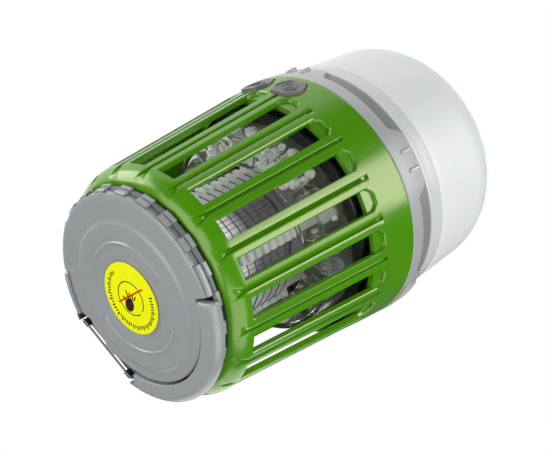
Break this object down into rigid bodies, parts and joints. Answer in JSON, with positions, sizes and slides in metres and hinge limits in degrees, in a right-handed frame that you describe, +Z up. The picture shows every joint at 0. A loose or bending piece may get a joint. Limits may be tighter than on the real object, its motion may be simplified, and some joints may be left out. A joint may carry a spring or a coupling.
{
  "type": "electric bug zapper",
  "caption": "Rechargeable lantern bug zapper with a slotted green sleeve round a high-voltage wire grid, a frosted lamp dome, push buttons and a folding hanging bail.",
  "frame": {"origin": "centre of the round face that the base stands on", "axes": "+Z up through the lamp dome; -Y towards the two push buttons; the bail pivots along X"},
  "size_m": [0.088, 0.0883, 0.1398],
  "materials": {
    "green_plastic": "glossy moulded green",
    "silver_plastic": "satin silver-grey",
    "grey_plastic": "satin grey",
    "clear_plastic": "clear moulded plastic",
    "frosted_plastic": "frosted translucent white",
    "yellow_label": "printed vinyl",
    "white_plastic": "matt white",
    "grey_rubber": "matt",
    "black_rubber": "matt",
    "key_plastic": "satin",
    "black_plastic": "satin black",
    "yellow_plastic": "dipped",
    "circuit_board": "solder mask",
    "plated_steel": "nickel plated",
    "grid_steel": "drawn wire",
    "polished_tube": "polished",
    "cell_wrap": "shrink sleeve",
    "brass_contact": "bright",
    "violet_lens": "tinted epoxy",
    "white_led": "encapsulated"
  },
  "bodies": {
    "housing": {"battery_cell": "cell_wrap", "battery_contact": "brass_contact", "battery_spring": "plated_steel", "cage_sleeve": "green_plastic", "chassis_ring": "black_plastic", "chassis_screw_1": "plated_steel", "chassis_screw_2": "plated_steel", "chassis_screw_3": "plated_steel", "coil_wire_a": "grid_steel", "coil_wire_b": "grid_steel", "dome_diffuser": "frosted_plastic", "dome_flange": "clear_plastic", "dome_o_ring": "black_rubber", "grid_collar": "clear_plastic", "grid_end_plate": "clear_plastic", "grid_post_1": "clear_plastic", "grid_post_2": "clear_plastic", "grid_post_3": "clear_plastic", "grid_post_4": "clear_plastic", "grid_post_5": "clear_plastic", "guard_grid": "grid_steel", "hv_capacitor": "yellow_plastic", "hv_transformer": "black_plastic", "lamp_board": "white_plastic", "lamp_led_1": "white_led", "lamp_led_2": "white_led", "lamp_led_3": "white_led", "lamp_led_4": "white_led", "lamp_led_5": "white_led", "lamp_led_6": "white_led", "lamp_screw_1": "plated_steel", "lamp_screw_2": "plated_steel", "lamp_screw_3": "plated_steel", "lamp_switch": "black_plastic", "main_board": "circuit_board", "reflector_tube": "polished_tube", "switch_board": "circuit_board", "upper_collar": "silver_plastic", "usb_socket": "plated_steel", "uv_board": "circuit_board", "uv_led_1": "violet_lens", "uv_led_2": "violet_lens", "uv_led_3": "violet_lens", "uv_led_4": "violet_lens", "uv_led_5": "violet_lens", "zapper_switch": "black_plastic"},
    "lock_ring_body": {"lock_ring": "grey_plastic"},
    "base": {"base_cap": "grey_plastic", "safety_sticker": "yellow_label", "collection_tray": "white_plastic", "bail_pin_left": "plated_steel", "bail_pin_right": "plated_steel"},
    "bail": {"bail_long_arm": "grey_plastic", "bail_short_arm": "grey_plastic", "gate_pin": "plated_steel"},
    "gate": {"gate_wire": "plated_steel"},
    "lamp_key": {"lamp_button": "key_plastic"},
    "zapper_key": {"zapper_button": "key_plastic"},
    "usb_flap": {"usb_cover": "grey_rubber"}
  },
  "joints": [
    {"name": "base_turn", "type": "hinge", "parent": "housing", "child": "lock_ring_body", "pos_m": [0, 0, 0.006], "axis": [0, 0, 1], "range_deg": [0, 20]},
    {"name": "base_pull", "type": "slide", "parent": "lock_ring_body", "child": "base", "axis": [0, 0, -1], "range_m": [0, 0.05]},
    {"name": "bail_fold", "type": "hinge", "parent": "base", "child": "bail", "pos_m": [0, -0.0015, 0.00265], "axis": [-1, 0, 0], "range_deg": [0, 100]},
    {"name": "gate_open", "type": "hinge", "parent": "bail", "child": "gate", "pos_m": [-0.03159, 0.01257, 0.00265], "axis": [0, 0, -1], "range_deg": [0, 5], "stiffness_Nm_per_rad": 0.02, "springref_deg": -5.73},
    {"name": "lamp_button_press", "type": "slide", "parent": "housing", "child": "lamp_key", "axis": [-0.165, 0.9863, 0], "range_m": [0, 0.0008], "stiffness_N_per_m": 1500, "springref_m": -0.0004},
    {"name": "zapper_button_press", "type": "slide", "parent": "housing", "child": "zapper_key", "axis": [0.165, 0.9863, 0], "range_m": [0, 0.0008], "stiffness_N_per_m": 1500, "springref_m": -0.0004},
    {"name": "usb_cover_open", "type": "hinge", "parent": "housing", "child": "usb_flap", "pos_m": [0.02563, 0.03527, 0.0856], "axis": [-0.809, 0.5878, 0], "range_deg": [0, 110]}
  ]
}
